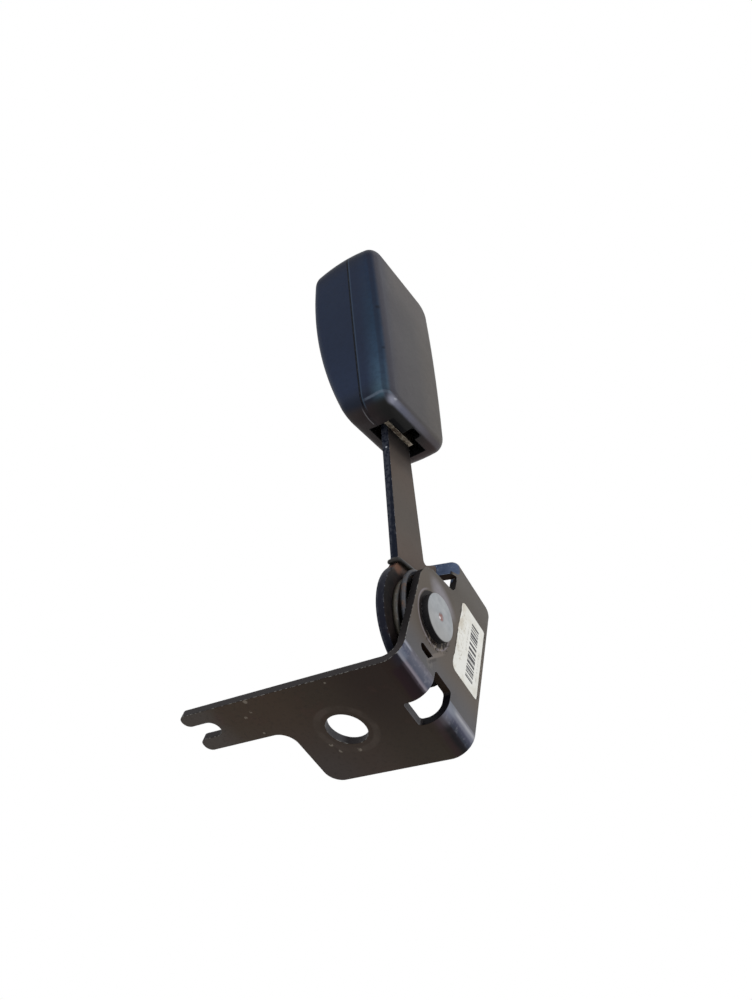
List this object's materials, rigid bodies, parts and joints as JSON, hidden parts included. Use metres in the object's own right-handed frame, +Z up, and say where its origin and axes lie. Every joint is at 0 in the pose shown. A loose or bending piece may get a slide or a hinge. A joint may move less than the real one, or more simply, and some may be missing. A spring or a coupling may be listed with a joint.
{
  "type": "seat belt buckle",
  "caption": "Seat belt buckle on a sprung steel strap that pivots on a bent anchor bracket with a bolt hole, forked locating arm and stop tab.",
  "frame": {"origin": "centre of the anchor bolt hole on the underside of the bracket's floor flange", "axes": "+Z up along the bolt hole, +X along the bracket's bend, +Y from the upright flange towards the forked arm; the buckle stalk leans towards -X"},
  "size_m": [0.1236, 0.0909, 0.185],
  "materials": {
    "bracket_steel": "satin black paint on pressed steel",
    "strap_steel": "satin black paint on forged steel",
    "zinc_steel": "bright zinc plate",
    "spring_steel": "oiled spring steel",
    "bush_plastic": "natural grey nylon",
    "frame_steel": "bare pressed steel",
    "cover_plastic": "fine grained black moulding",
    "button_plastic": "red moulding",
    "inner_plastic": "natural acetal",
    "label_paper": "printed paper label"
  },
  "bodies": {
    "bracket": {"anchor_bracket": "bracket_steel", "pivot_rivet": "zinc_steel", "pivot_bush": "bush_plastic", "spring_washer": "spring_steel", "back_washer": "zinc_steel", "return_spring": "spring_steel", "barcode_label": "label_paper"},
    "stalk": {"buckle_strap": "strap_steel", "buckle_frame": "frame_steel", "frame_rivets": "zinc_steel", "front_cover": "cover_plastic", "rear_cover": "cover_plastic", "tongue_guide": "cover_plastic", "latch_pin": "zinc_steel", "button_spring": "spring_steel", "latch_spring": "spring_steel", "ejector_spring": "spring_steel"},
    "button": {"press_button": "button_plastic"},
    "lock": {"lock_bar": "zinc_steel"},
    "latch": {"latch_plate": "frame_steel"},
    "ejector_slider": {"ejector": "inner_plastic"}
  },
  "joints": [
    {"name": "stalk_pivot", "type": "hinge", "parent": "bracket", "child": "stalk", "pos_m": [-0.0105, -0.02555, 0.0277], "axis": [0, 1, 0], "range_deg": [-50, 0], "stiffness_Nm_per_rad": 0.25, "springref_deg": 40.11, "deforming": ["return_spring"]},
    {"name": "button_press", "type": "slide", "parent": "stalk", "child": "button", "axis": [0.4206, -0.0436, -0.9062], "range_m": [0, 0.004], "stiffness_N_per_m": 600, "springref_m": -0.004, "deforming": ["button_spring"]},
    {"name": "lock_slide", "type": "slide", "parent": "stalk", "child": "lock", "axis": [0.4206, -0.0436, -0.9062], "range_m": [0, 0.004]},
    {"name": "ejector_slide", "type": "slide", "parent": "stalk", "child": "ejector_slider", "axis": [0.4206, -0.0436, -0.9062], "range_m": [0, 0.009], "stiffness_N_per_m": 500, "springref_m": -0.006, "deforming": ["ejector_spring"]},
    {"name": "latch_pivot", "type": "hinge", "parent": "stalk", "child": "latch", "pos_m": [-0.05721, -0.01554, 0.12462], "axis": [0.907, -0.0005, 0.421], "range_deg": [0, 8.5], "deforming": ["latch_spring"]}
  ],
  "couplings": [
    {"joint": "lock_slide", "follows": "button_press", "ratio": 1},
    {"joint": "latch_pivot", "follows": "ejector_slide", "rad_per_m": 16.47}
  ]
}
